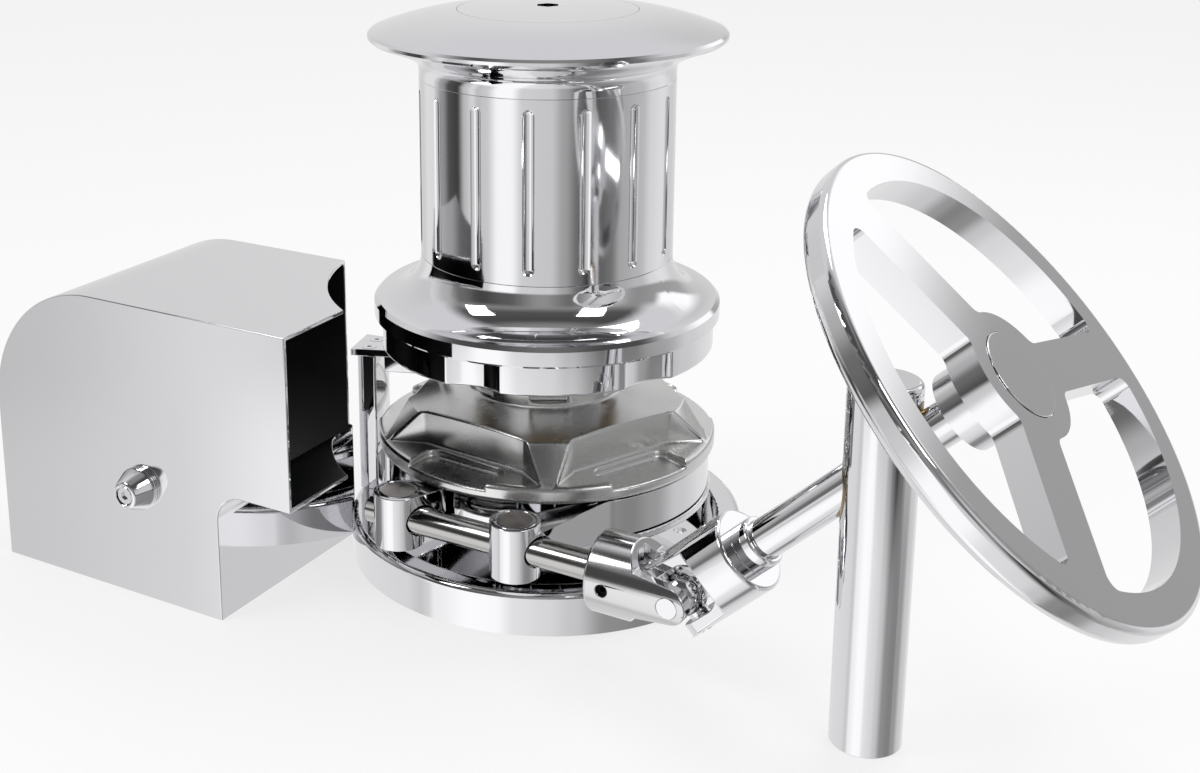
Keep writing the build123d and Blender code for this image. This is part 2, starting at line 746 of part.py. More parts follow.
# Universal joint: two equal yokes, a cross pin in each, and a centre ball
yoke_pin_y = Vector(0, 1, 0)
cross_line = yoke_pin_y.cross(shaft_line)
yoke_root_x = -yoke_crotch + yoke_shoulder
yoke_body_x = -yoke_crotch - yoke_shoulder_back
yoke_frames = {
    "screw_yoke": (Plane(origin=joint_point, x_dir=yoke_pin_y, z_dir=(1, 0, 0)), screw_radius),
    "shaft_yoke": (Plane(origin=joint_point, x_dir=cross_line, z_dir=shaft_line * -1), wheel_shaft_radius),
}
for yoke_name, (frame, bore_radius) in yoke_frames.items():
    flank = Plane(origin=frame.origin, x_dir=frame.z_dir, z_dir=frame.x_dir)
    slot = Plane(origin=frame.origin, x_dir=frame.x_dir, z_dir=flank.y_dir)
    with BuildPart() as yoke:
        with BuildSketch(frame.offset(-yoke_length)):
            Circle(yoke_radius)
        extrude(amount=yoke_length + yoke_arm_half)
        chamfer(yoke.faces().sort_by(Axis(frame.origin, frame.z_dir))[0].edges(), 1.5)
        with BuildSketch(flank.offset(-yoke_radius)):
            with BuildLine():
                Line((yoke_root_x, -yoke_root_half), (yoke_root_x, yoke_root_half))
                CenterArc((0, 0), yoke_arm_half, 0, 360)
            make_hull()
            with BuildLine():
                Polyline(
                    (-yoke_length - 1, -yoke_radius),
                    (yoke_body_x, -yoke_radius),
                    (yoke_root_x, -yoke_root_half),
                    (yoke_root_x, yoke_root_half),
                    (yoke_body_x, yoke_radius),
                    (-yoke_length - 1, yoke_radius),
                    close=True,
                )
            make_face()
        extrude(amount=2 * yoke_radius, mode=Mode.INTERSECT)
        with BuildSketch(slot.offset(-yoke_radius)):
            with Locations((0, yoke_slot_half - yoke_crotch)):
                Circle(yoke_slot_half)
                Rectangle(2 * yoke_slot_half, 2 * yoke_crotch, align=(Align.CENTER, Align.MIN))
        extrude(amount=2 * yoke_radius, mode=Mode.SUBTRACT)
        with BuildSketch(frame.offset(-yoke_length)):
            Circle(bore_radius + seat_play)
        extrude(amount=yoke_length, mode=Mode.SUBTRACT)
        with BuildSketch(flank.offset(-yoke_radius)):
            Circle(yoke_pin_radius)
        extrude(amount=2 * yoke_radius, mode=Mode.SUBTRACT)
        with BuildSketch(flank.offset(-yoke_radius)):
            with Locations((-set_screw_place, 0)):
                Circle(set_screw_radius)
        extrude(amount=yoke_radius, mode=Mode.SUBTRACT)
    yoke.part.label = yoke_name
    export_step(yoke.part, f"parts/{yoke_name}.step")
    with BuildPart() as set_screw:
        with BuildSketch(flank.offset(-yoke_radius + set_screw_sink)):
            with Locations((-set_screw_place, 0)):
                Circle(set_screw_radius)
        extrude(amount=yoke_radius - set_screw_sink - bore_radius - seat_play)
        with BuildSketch(flank.offset(-yoke_radius + set_screw_sink)):
            with Locations((-set_screw_place, 0)):
                RegularPolygon(set_screw_radius / 2, 6)
        extrude(amount=set_screw_sink, mode=Mode.SUBTRACT)
    set_screw_name = yoke_name.replace("yoke", "yoke_set_screw")
    set_screw.part.label = set_screw_name
    export_step(set_screw.part, f"parts/{set_screw_name}.step")

pin_plane = Plane(origin=joint_point, x_dir=(1, 0, 0), z_dir=yoke_pin_y)
with BuildPart() as screw_yoke_pins:
    with BuildSketch(pin_plane.offset(yoke_ball_radius + face_gap)):
        Circle(yoke_pin_radius)
    extrude(amount=yoke_radius - yoke_ball_radius - face_gap - pin_recess)
    mirror(about=Plane(origin=joint_point, z_dir=yoke_pin_y))
screw_yoke_pins.part.label = "screw_yoke_pins"
export_step(screw_yoke_pins.part, "parts/screw_yoke_pins.step")

cross_plane = Plane(origin=joint_point, x_dir=(0, 1, 0), z_dir=cross_line)
with BuildPart() as shaft_yoke_pin:
    with BuildSketch(cross_plane.offset(-yoke_radius + pin_recess)):
        Circle(yoke_pin_radius)
    extrude(amount=2 * (yoke_radius - pin_recess))
shaft_yoke_pin.part.label = "shaft_yoke_pin"
export_step(shaft_yoke_pin.part, "parts/shaft_yoke_pin.step")

ball_flat = math.sqrt(yoke_ball_radius ** 2 - yoke_pin_radius ** 2)
ball_plane = Plane(origin=joint_point, x_dir=(0, 1, 0), z_dir=shaft_line)
with BuildPart() as joint_ball:
    with BuildSketch(ball_plane):
        with BuildLine():
            ThreePointArc(
                (yoke_pin_radius, -ball_flat),
                (yoke_ball_radius, 0),
                (yoke_pin_radius, ball_flat),
            )
            Line((yoke_pin_radius, ball_flat), (yoke_pin_radius, -ball_flat))
        make_face()
    revolve(axis=Axis(joint_point, ball_plane.y_dir))
joint_ball.part.label = "joint_ball"
export_step(joint_ball.part, "parts/joint_ball.step")

# Inclined shaft and collar
thread_reach = hub_cap_depth + 1.0
with BuildPart() as wheel_shaft:
    with BuildSketch(shaft_plane.offset(yoke_crotch)):
        Circle(wheel_shaft_radius)
    extrude(amount=wheel_reach - thread_reach - yoke_crotch)
wheel_shaft.part.label = "wheel_shaft"
export_step(wheel_shaft.part, "parts/wheel_shaft.step")

with BuildPart() as shaft_collar:
    with BuildSketch(shaft_plane.offset(yoke_length)):
        Circle(collar_radius)
        Circle(wheel_shaft_radius + seat_play, mode=Mode.SUBTRACT)
    extrude(amount=collar_length)
    chamfer(shaft_collar.faces().sort_by(Axis(joint_point, shaft_line))[-1].outer_wire().edges(), 1.2)
shaft_collar.part.label = "shaft_collar"
export_step(shaft_collar.part, "parts/shaft_collar.step")

# Post with its bush, cap and foot
post_place = (post_reach, -screw_distance)
with BuildPart() as post:
    with BuildSketch(Plane.XY):
        with Locations(post_place):
            Circle(post_radius)
            Circle(post_radius - post_wall, mode=Mode.SUBTRACT)
    extrude(amount=post_height)
    with BuildSketch(shaft_plane):
        Circle(post_bush_radius)
    extrude(amount=wheel_reach, mode=Mode.SUBTRACT)
post.part.label = "post"
export_step(post.part, "parts/post.step")

with BuildPart() as post_bush:
    with BuildSketch(shaft_plane.offset(yoke_length)):
        Circle(post_bush_radius)
        Circle(wheel_shaft_radius + run_play, mode=Mode.SUBTRACT)
    extrude(amount=wheel_reach - yoke_length)
    with BuildSketch(Plane.XY):
        with Locations(post_place):
            Circle(post_radius)
    extrude(amount=post_height, mode=Mode.INTERSECT)
post_bush.part.label = "post_bush"
export_step(post_bush.part, "parts/post_bush.step")

with BuildPart() as post_top:
    with BuildSketch(Plane.XY.offset(post_height)):
        with Locations(post_place):
            Circle(post_radius)
    extrude(amount=post_cap)
    fillet(post_top.faces().sort_by(Axis.Z)[-1].edges(), post_cap * 0.7)
    with BuildSketch(Plane.XY.offset(post_height)):
        with Locations(post_place):
            Circle(post_radius - post_wall - seat_play)
    extrude(amount=-post_cap)
post_top.part.label = "post_top"
export_step(post_top.part, "parts/post_top.step")

with BuildPart() as post_plug:
    with BuildSketch(Plane.XY):
        with Locations(post_place):
            Circle(post_radius - post_wall - seat_play)
            Circle(post_foot_hole, mode=Mode.SUBTRACT)
    extrude(amount=post_foot)
post_plug.part.label = "post_plug"
export_step(post_plug.part, "parts/post_plug.step")

# Handwheel with three flat spokes
opening_radius = hand_radius - hand_rim
with BuildPart() as handwheel:
    with BuildSketch(hand_plane):
        Circle(hand_radius)
    extrude(amount=-hand_thickness)
    along = Axis(wheel_face, shaft_line)
    fillet(handwheel.faces().sort_by(along)[-1].edges(), hand_front_round)
    fillet(handwheel.faces().sort_by(along)[0].edges(), hand_back_round)
    with BuildSketch(hand_plane):
        Circle(opening_radius)
        Circle(hand_hub_radius, mode=Mode.SUBTRACT)
        with PolarLocations(opening_radius / 2, hand_spokes, start_angle=hand_turn):
            Rectangle(opening_radius + 20, hand_spoke, mode=Mode.SUBTRACT)
        fillet(vertices(), hand_corner)
    extrude(amount=-hand_thickness, mode=Mode.SUBTRACT)
    with BuildSketch(hand_plane.offset(-hand_thickness)):
        Circle(hand_boss_radius)
    extrude(amount=-hand_boss_length)
    with BuildSketch(hand_plane):
        Circle(hub_cap_radius)
    extrude(amount=-hub_cap_depth, mode=Mode.SUBTRACT)
    with BuildSketch(hand_plane.offset(-hub_cap_depth)):
        Circle(hub_nut_flats / 2 + 4)
    extrude(amount=-hub_nut_height, mode=Mode.SUBTRACT)
    with BuildSketch(hand_plane):
        Circle(wheel_shaft_radius + seat_play)
    extrude(amount=-hand_thickness - hand_boss_length, mode=Mode.SUBTRACT)
handwheel.part.label = "handwheel"
export_step(handwheel.part, "parts/handwheel.step")

with BuildPart() as hub_nut:
    with BuildSketch(hand_plane.offset(-hub_cap_depth - hub_nut_height)):
        RegularPolygon(hub_nut_flats / 2, 6, major_radius=False)
        Circle(wheel_shaft_radius + seat_play, mode=Mode.SUBTRACT)
    extrude(amount=hub_nut_height - 1)
hub_nut.part.label = "hub_nut"
export_step(hub_nut.part, "parts/hub_nut.step")

with BuildPart() as hub_cap:
    with BuildSketch(hand_plane.offset(0.8)):
        Circle(hub_cap_radius - 0.5)
    extrude(amount=-hub_cap_depth - 0.3)
    fillet(hub_cap.faces().sort_by(along)[-1].edges(), 0.6)
hub_cap.part.label = "hub_cap"
export_step(hub_cap.part, "parts/hub_cap.step")

# Hood over the chain pipe: a bent sheet box, open below and at its mouth
with BuildPart() as hood:
    with BuildSketch(Plane.XZ.offset(-hood_far)):
        with BuildLine():
            Polyline((hood_back, hood_height - hood_back_bend), (hood_back, 0), (hood_foot_front, 0))
            Line((hood_foot_front, 0), (hood_foot_front, hood_shelf - hood_shelf_bend))
            RadiusArc(
                (hood_foot_front, hood_shelf - hood_shelf_bend),
                (hood_foot_front + hood_shelf_bend, hood_shelf),
                hood_shelf_bend,
            )
            Polyline(
                (hood_foot_front + hood_shelf_bend, hood_shelf),
                (hood_mouth, hood_shelf),
                (hood_mouth, hood_height),
                (hood_back + hood_back_bend, hood_height),
            )
            RadiusArc(
                (hood_back + hood_back_bend, hood_height),
                (hood_back, hood_height - hood_back_bend),
                -hood_back_bend,
            )
        make_face()
    extrude(amount=hood_far - hood_near)
    inner_back = hood_back + hood_sheet
    inner_foot = hood_foot_front - hood_sheet
    inner_bend = hood_shelf_bend + hood_sheet
    inner_round = hood_back_bend - hood_sheet
    with BuildSketch(Plane.XZ.offset(-hood_far + hood_sheet)):
        with BuildLine():
            Polyline((inner_back, hood_height - hood_back_bend), (inner_back, -5), (inner_foot, -5))
            Line((inner_foot, -5), (inner_foot, hood_shelf - hood_shelf_bend))
            RadiusArc(
                (inner_foot, hood_shelf - hood_shelf_bend),
                (inner_foot + inner_bend, hood_shelf + hood_sheet),
                inner_bend,
            )
            Polyline(
                (inner_foot + inner_bend, hood_shelf + hood_sheet),
                (hood_mouth + 5, hood_shelf + hood_sheet),
                (hood_mouth + 5, hood_height - hood_sheet),
                (hood_back + hood_back_bend, hood_height - hood_sheet),
            )
            RadiusArc(
                (hood_back + hood_back_bend, hood_height - hood_sheet),
                (inner_back, hood_height - hood_back_bend),
                -inner_round,
            )
        make_face()
    extrude(amount=hood_far - hood_near - 2 * hood_sheet, mode=Mode.SUBTRACT)
    with BuildSketch(Plane.XY):
        Circle(hood_notch_radius)
    extrude(amount=hood_height, mode=Mode.SUBTRACT)
    with BuildSketch(Plane.XZ.offset(-hood_near)):
        with Locations((knob_x, knob_height)):
            Circle(knob_thread_radius + face_gap)
    extrude(amount=-hood_sheet, mode=Mode.SUBTRACT)
hood.part.label = "hood"
export_step(hood.part, "parts/hood.step")

# Chain pipe flange on the deck and the bracket that holds the hood
with BuildPart() as chain_pipe:
    with BuildSketch(Plane.XZ.offset(-pipe_center_y)):
        with BuildLine():
            Polyline(
                (pipe_center_x + pipe_radius, 0),
                (pipe_center_x + pipe_flange_radius, 0),
                (pipe_center_x + pipe_flange_radius, pipe_flange_thickness),
                (pipe_center_x + pipe_radius + pipe_rim_wall, pipe_flange_thickness),
                (pipe_center_x + pipe_radius + pipe_rim_wall, pipe_rim_height),
                (pipe_center_x + pipe_radius, pipe_rim_height),
                close=True,
            )
        make_face()
    revolve(axis=Axis((pipe_center_x, pipe_center_y, 0), (0, 0, 1)))
    with BuildSketch(Plane.XY):
        with Locations((pipe_center_x, pipe_center_y)):
            with PolarLocations(pipe_bolt_circle, 4, start_angle=45):
                Circle(pipe_bolt_hole)
    extrude(amount=pipe_flange_thickness, mode=Mode.SUBTRACT)
chain_pipe.part.label = "chain_pipe"
export_step(chain_pipe.part, "parts/chain_pipe.step")

bracket_face = hood_near + hood_sheet + face_gap
bracket_top = knob_height + bracket_width / 2
bracket_run = pipe_center_y - pipe_flange_radius + 16 - bracket_face
with BuildPart() as hood_bracket:
    with BuildSketch(Plane.YZ.offset(knob_x - bracket_width / 2)):
        with BuildLine():
            Polyline(
                (bracket_face, pipe_flange_thickness),
                (bracket_face + bracket_run, pipe_flange_thickness),
                (bracket_face + bracket_run, pipe_flange_thickness + bracket_sheet),
                (bracket_face + bracket_sheet, pipe_flange_thickness + bracket_sheet),
                (bracket_face + bracket_sheet, bracket_top),
                (bracket_face, bracket_top),
                close=True,
            )
        make_face()
    extrude(amount=bracket_width)
    with BuildSketch(Plane.XZ.offset(-bracket_face)):
        with Locations((knob_x, knob_height)):
            Circle(knob_thread_radius + run_play)
    extrude(amount=-bracket_sheet, mode=Mode.SUBTRACT)
hood_bracket.part.label = "hood_bracket"
export_step(hood_bracket.part, "parts/hood_bracket.step")

# Knob of the hood: washer, domed nut and socket screw
with BuildPart() as knob_washer:
    with BuildSketch(Plane.XZ.offset(-hood_near)):
        with Locations((knob_x, knob_height)):
            Circle(knob_washer_radius)
            Circle(knob_thread_radius + face_gap, mode=Mode.SUBTRACT)
    extrude(amount=knob_washer_thickness)
knob_washer.part.label = "knob_washer"
export_step(knob_washer.part, "parts/knob_washer.step")

knob_front = -hood_near + knob_washer_thickness + face_gap
with BuildPart() as hood_knob:
    with BuildSketch(Plane.XZ.offset(knob_front)):
        with Locations((knob_x, knob_height)):
            Circle(knob_radius)
            Circle(knob_thread_radius + seat_play, mode=Mode.SUBTRACT)
    extrude(amount=knob_length)
    front_rim = hood_knob.edges().filter_by(GeomType.CIRCLE).filter_by(lambda e: e.radius > knob_radius - 1)
    fillet(front_rim.sort_by(Axis.Y)[0], knob_length * 0.45)
hood_knob.part.label = "hood_knob"
export_step(hood_knob.part, "parts/hood_knob.step")

with BuildPart() as knob_screw:
    with BuildSketch(Plane.XZ.offset(knob_front + knob_length)):
        with Locations((knob_x, knob_height)):
            Circle(knob_screw_radius)
    extrude(amount=knob_screw_head)
    chamfer(knob_screw.faces().sort_by(Axis.Y)[0].edges(), 0.6)
    with BuildSketch(Plane.XZ.offset(knob_front + knob_length + knob_screw_head)):
        with Locations((knob_x, knob_height)):
            RegularPolygon(knob_hex / 2, 6, major_radius=False)
    extrude(amount=-knob_screw_head * 0.6, mode=Mode.SUBTRACT)
    with BuildSketch(Plane.XZ.offset(knob_front + knob_length)):
        with Locations((knob_x, knob_height)):
            Circle(knob_thread_radius)
    extrude(amount=-(knob_front + knob_length + bracket_face + bracket_sheet))
knob_screw.part.label = "knob_screw"
export_step(knob_screw.part, "parts/knob_screw.step")

# Chain stripper: a post on the base land, a top plate and a finger over the wheel
stripper_low = wheel_crown_top + stripper_clear
stripper_high = stripper_low + stripper_finger_height
stripper_plate_half = stripper_post_width / 2 + 2
stripper_frame = Plane.XY.rotated((0, 0, stripper_turn))
screw_places = [
    (stripper_post_place, stripper_screw_spacing / 2),
    (stripper_post_place, -stripper_screw_spacing / 2),
]
with BuildPart() as stripper_post:
    with BuildSketch(stripper_frame.offset(base_height)):
        with Locations((stripper_post_place, 0)):
            Rectangle(stripper_post_depth, stripper_post_width)
    extrude(amount=stripper_high - base_height)
    fillet(stripper_post.edges().filter_by(Axis.Z), 2)
    with BuildSketch(stripper_frame.offset(stripper_high)):
        with Locations(*screw_places):
            Circle(stripper_screw_radius)
    extrude(amount=-14, mode=Mode.SUBTRACT)
stripper_post.part.label = "stripper_post"
export_step(stripper_post.part, "parts/stripper_post.step")

with BuildPart() as stripper_plate_part:
    with BuildSketch(stripper_frame.offset(stripper_high)):
        with BuildLine():
            CenterArc((stripper_inner + 9, 0), 9, 0, 360)
            Line((stripper_outer, -stripper_plate_half), (stripper_outer, stripper_plate_half))
        make_hull()
        Circle(stripper_outer + 2, mode=Mode.INTERSECT)
    extrude(amount=stripper_plate)
    with BuildSketch(stripper_frame.offset(stripper_high)):
        with Locations(*screw_places):
            Circle(stripper_screw_radius)
    extrude(amount=stripper_plate, mode=Mode.SUBTRACT)
    with BuildSketch(stripper_frame.offset(stripper_high + stripper_plate)):
        with Locations(*screw_places):
            Circle(2 * stripper_screw_radius)
    extrude(amount=-stripper_screw_radius, taper=45, mode=Mode.SUBTRACT)
stripper_plate_part.part.label = "stripper_arm"
export_step(stripper_plate_part.part, "parts/stripper_arm.step")

with BuildPart() as stripper_finger:
    with BuildSketch(stripper_frame.offset(stripper_low)):
        with BuildLine():
            CenterArc((stripper_inner + 9, 0), 7, 0, 360)
            Line((stripper_post_place - 14, -12), (stripper_post_place - 14, 12))
        make_hull()
    extrude(amount=stripper_finger_height)
stripper_finger.part.label = "stripper_finger"
export_step(stripper_finger.part, "parts/stripper_finger.step")

with BuildPart() as stripper_screws:
    with BuildSketch(stripper_frame.offset(stripper_high + stripper_plate)):
        with Locations(*screw_places):
            Circle(2 * stripper_screw_radius)
    extrude(amount=-stripper_screw_radius, taper=45)
    with BuildSketch(stripper_frame.offset(stripper_high + stripper_plate - stripper_screw_radius)):
        with Locations(*screw_places):
            Circle(stripper_screw_radius)
    extrude(amount=-(stripper_plate - stripper_screw_radius + 12))
    with BuildSketch(stripper_frame.offset(stripper_high + stripper_plate)):
        with Locations(*screw_places):
            RegularPolygon(stripper_screw_radius * 0.7, 6)
    extrude(amount=-stripper_screw_radius * 0.6, mode=Mode.SUBTRACT)
stripper_screws.part.label = "stripper_screws"
export_step(stripper_screws.part, "parts/stripper_screws.step")
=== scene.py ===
import json
import math

import bmesh
import bpy
from mathutils import Matrix, Vector


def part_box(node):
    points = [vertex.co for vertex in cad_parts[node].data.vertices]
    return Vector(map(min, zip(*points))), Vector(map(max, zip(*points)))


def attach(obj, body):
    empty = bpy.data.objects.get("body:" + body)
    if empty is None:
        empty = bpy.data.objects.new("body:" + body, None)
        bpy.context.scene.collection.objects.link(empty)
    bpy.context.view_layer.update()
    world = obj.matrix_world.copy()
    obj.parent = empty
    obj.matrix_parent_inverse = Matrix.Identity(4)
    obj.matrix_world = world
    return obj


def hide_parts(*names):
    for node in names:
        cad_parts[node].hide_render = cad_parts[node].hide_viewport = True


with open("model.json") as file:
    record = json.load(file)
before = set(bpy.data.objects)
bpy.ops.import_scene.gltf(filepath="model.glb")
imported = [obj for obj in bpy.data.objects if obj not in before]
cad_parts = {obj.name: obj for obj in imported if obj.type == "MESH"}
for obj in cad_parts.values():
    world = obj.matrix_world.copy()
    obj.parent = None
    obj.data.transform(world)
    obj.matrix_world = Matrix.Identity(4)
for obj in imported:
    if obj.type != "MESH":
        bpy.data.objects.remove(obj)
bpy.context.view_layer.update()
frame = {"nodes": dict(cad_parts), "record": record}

# Vertical anchor windlass in polished stainless steel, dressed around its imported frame.
# Lengths in the settings are millimetres, angles are degrees, colours are sRGB hex.

mm = 0.001
nodes = frame["nodes"]
bodies = frame["record"]["behaviour"]["bodies"]
bodyOf = {name: body for body, members in bodies.items() for name in members}

# Places that several pieces share.
screwLine = (0, -148, 72.3)
trunnionAt = {"plain_trunnion": (57, -148), "nut_trunnion": (-46, -148)}


def toLinear(hexColour, alpha=1.0):
    parts = [int(hexColour[i:i + 2], 16) / 255 for i in (1, 3, 5)]
    return [c / 12.92 if c <= 0.04045 else ((c + 0.055) / 1.055) ** 2.4 for c in parts] + [alpha]


def addNode(tree, kind, settings=None, links=None):
    node = tree.nodes.new(kind)
    for name, value in (settings or {}).items():
        if isinstance(name, str) and hasattr(node, name):
            setattr(node, name, value)
        else:
            node.inputs[name].default_value = value
    for name, source in (links or {}).items():
        tree.links.new(source, node.inputs[name])
    return node


def newMaterial(name):
    material = bpy.data.materials.new(name)
    material.use_nodes = True
    material.node_tree.nodes.clear()
    return material, material.node_tree


def finishMaterial(tree, shader):
    output = tree.nodes.new("ShaderNodeOutputMaterial")
    tree.links.new(shader.outputs[0], output.inputs["Surface"])


def makeActive(piece):
    bpy.ops.object.select_all(action="DESELECT")
    piece.select_set(True)
    bpy.context.view_layer.objects.active = piece


def cutAway(piece, cutter):
    carve = piece.modifiers.new("cut", "BOOLEAN")
    carve.operation = "DIFFERENCE"
    carve.solver = "EXACT"
    carve.object = cutter
    makeActive(piece)
    bpy.ops.object.modifier_apply(modifier=carve.name)
    bpy.data.objects.remove(cutter, do_unlink=True)


print("camera")
cameraSettings = {
    "place": (632.95, -1136.87, 643.49),
    "heading": 31.395,  # turned left of +Y
    "pitch": 15.038,
    "roll": -0.332,
    "lens": 51.04,
    "sensor": 36,
    "shift": (0.0990, -0.1554),
    "clip": (50, 60000),
}
bpy.ops.object.select_all(action="DESELECT")
bpy.ops.object.camera_add()
camera = bpy.context.object
camera.name = "studioCamera"
turn = Matrix.Rotation(math.radians(cameraSettings["heading"]), 4, "Z")
tilt = Matrix.Rotation(math.radians(90 - cameraSettings["pitch"]), 4, "X")
roll = Matrix.Rotation(math.radians(cameraSettings["roll"]), 4, "Z")
place = Matrix.Translation(Vector(cameraSettings["place"]) * mm)
camera.matrix_world = place @ turn @ tilt @ roll
camera.data.lens = cameraSettings["lens"]
camera.data.sensor_width = cameraSettings["sensor"]
camera.data.shift_x, camera.data.shift_y = cameraSettings["shift"]
camera.data.clip_start, camera.data.clip_end = [clip * mm for clip in cameraSettings["clip"]]
bpy.context.scene.camera = camera


print("studio")
studioSettings = {
    "wall": "#FFFFFF",
    "fillStrength": 0.62,
    "floorSize": 12000.0,
    "floorColour": "#F7F7F7",
    "floorGlow": 0.72,  # how much of the floor is plain white, the rest shows shadow
    # where the floor that low metal mirrors gives way to the cards
    "nearReach": (560.0, 900.0),
    # cards round the set as direction in degrees from +X and sRGB level: on the near floor,
    # below the horizon and above it
    "nearFloor": [
        (-180, 215), (-150, 212), (-138, 198), (-133, 208), (-128, 236), (-104, 252), (-90, 250),
        (-78, 224), (-60, 214), (-45, 196), (-25, 140), (0, 128), (20, 150), (45, 196), (80, 214),
        (175, 215),
    ],
    "cards": [
        (-180, 205), (-168, 150), (-157, 75), (-147, 60), (-138, 190), (-130, 216), (-124, 190),
        (-116, 200), (-104, 250), (-93, 250), (-82, 205), (-58, 200), (-46, 160), (-33, 105),
        (-22, 38), (-12, 95), (-2, 112), (9, 168), (30, 182), (46, 214), (61, 222), (84, 200),
        (119, 208), (150, 200), (166, 220),
    ],
    "highCards": [
        (-180, 205), (-158, 170), (-142, 104), (-120, 66), (-96, 88), (-64, 140), (-40, 104),
        (-10, 196), (25, 140), (58, 152), (82, 158), (100, 190), (119, 208), (140, 202), (170, 196),
    ],
    "horizon": (-0.06, 0.04),
    # one bright card high behind the set, as direction range, edge and heights
    "backCard": [(-180, 0), (45, 0), (58, 255), (88, 255), (104, 0)],
    "backCardHeights": (0.20, 0.28),
    "backCardColour": "#FCFCFC",
    "ceilingFrom": (0.40, 0.60),
    "ceiling": [(0.0, 150), (0.5, 135), (0.72, 78), (0.88, 70), (1.0, 130)],
    # the ceiling is lighter at the back, away from the camera
    "backCeiling": "#CBCBCD",
    "backDirection": (-0.485, 0.875, 0),
    "backCeilingFrom": (-0.05, 0.3),
    "strength": 1.28,  # makes up for the light that the steel keeps
}


def compassShare(tree, x, y):
    # direction round the set, from 0 at -X through +X at the middle and back to -X at 1
    angle = addNode(tree, "ShaderNodeMath", {"operation": "ARCTAN2"}, {0: y, 1: x})
    share = addNode(tree, "ShaderNodeMapRange", {"From Min": -math.pi, "From Max": math.pi},
                    {"Value": angle.outputs[0]})
    return share.outputs[0]


def greyRamp(tree, stops, source):
    ramp = addNode(tree, "ShaderNodeValToRGB", links={"Fac": source})
    ramp.color_ramp.interpolation = "EASE"
    while len(ramp.color_ramp.elements) < len(stops):
        ramp.color_ramp.elements.new(0.5)
    for element, (position, level) in zip(ramp.color_ramp.elements, stops):
        element.position = position
        element.color = toLinear("#" + "%02X" % level * 3)
    return ramp.outputs[0]


def roundRamp(tree, name, source):
    stops = [((degree + 180) / 360, level) for degree, level in studioSettings[name]]
    return greyRamp(tree, stops, source)


def rising(tree, limits, source):
    low, high = limits
    node = addNode(tree, "ShaderNodeMapRange",
                   {"interpolation_type": "SMOOTHSTEP", "From Min": low, "From Max": high},
                   {"Value": source})
    return node.outputs[0]


def plainColour(tree, hexColour):
    colour = addNode(tree, "ShaderNodeRGB")
    colour.outputs[0].default_value = toLinear(hexColour)
    return colour.outputs[0]


def mixColours(tree, share, first, second):
    mix = addNode(tree, "ShaderNodeMix", {"data_type": "RGBA"}, {0: share, 6: first, 7: second})
    return mix.outputs[2]


def mixShaders(tree, share, first, second):
    return addNode(tree, "ShaderNodeMixShader",
                   links={0: share, 1: first.outputs[0], 2: second.outputs[0]})


world = bpy.data.worlds.new("studioWorld")
bpy.context.scene.world = world
world.use_nodes = True
tree = world.node_tree
tree.nodes.clear()
direction = addNode(tree, "ShaderNodeTexCoord").outputs["Generated"]
parts = addNode(tree, "ShaderNodeSeparateXYZ", links={0: direction}).outputs
share = compassShare(tree, parts["X"], parts["Y"])
height = parts["Z"]
lowCards = roundRamp(tree, "cards", share)
highCards = roundRamp(tree, "highCards", share)
backCard = addNode(tree, "ShaderNodeMath", {"operation": "MULTIPLY"},
                   {0: roundRamp(tree, "backCard", share),
                    1: rising(tree, studioSettings["backCardHeights"], height)})
walls = mixColours(tree, rising(tree, studioSettings["horizon"], height), lowCards, highCards)
walls = mixColours(tree, backCard.outputs[0], walls,
                   plainColour(tree, studioSettings["backCardColour"]))
towardsBack = addNode(tree, "ShaderNodeVectorMath",
                      {"operation": "DOT_PRODUCT", 1: studioSettings["backDirection"]},
                      {0: direction})
overhead = mixColours(
    tree, rising(tree, studioSettings["backCeilingFrom"], towardsBack.outputs["Value"]),
    greyRamp(tree, studioSettings["ceiling"], height),
    plainColour(tree, studioSettings["backCeiling"]))
studio = mixColours(tree, rising(tree, studioSettings["ceilingFrom"], height), walls, overhead)
path = addNode(tree, "ShaderNodeLightPath").outputs
mirrored = addNode(tree, "ShaderNodeMath", {"operation": "MAXIMUM"},
                   {0: path["Is Glossy Ray"], 1: path["Is Transmission Ray"]})
wall = toLinear(studioSettings["wall"])
fill = addNode(tree, "ShaderNodeBackground",
               {"Color": wall, "Strength": studioSettings["fillStrength"]})
mirror = addNode(tree, "ShaderNodeBackground", {"Strength": studioSettings["strength"]},
                 {"Color": studio})
seen = addNode(tree, "ShaderNodeBackground", {"Color": wall, "Strength": 1.0})
mixed = mixShaders(tree, mirrored.outputs[0], fill, mirror)
shown = mixShaders(tree, path["Is Camera Ray"], mixed, seen)
addNode(tree, "ShaderNodeOutputWorld", links={0: shown.outputs[0]})

bpy.ops.object.select_all(action="DESELECT")
bpy.ops.mesh.primitive_plane_add(size=studioSettings["floorSize"] * mm, location=(0, 0, 0))
floor = bpy.context.object
floor.name = "studioFloor"
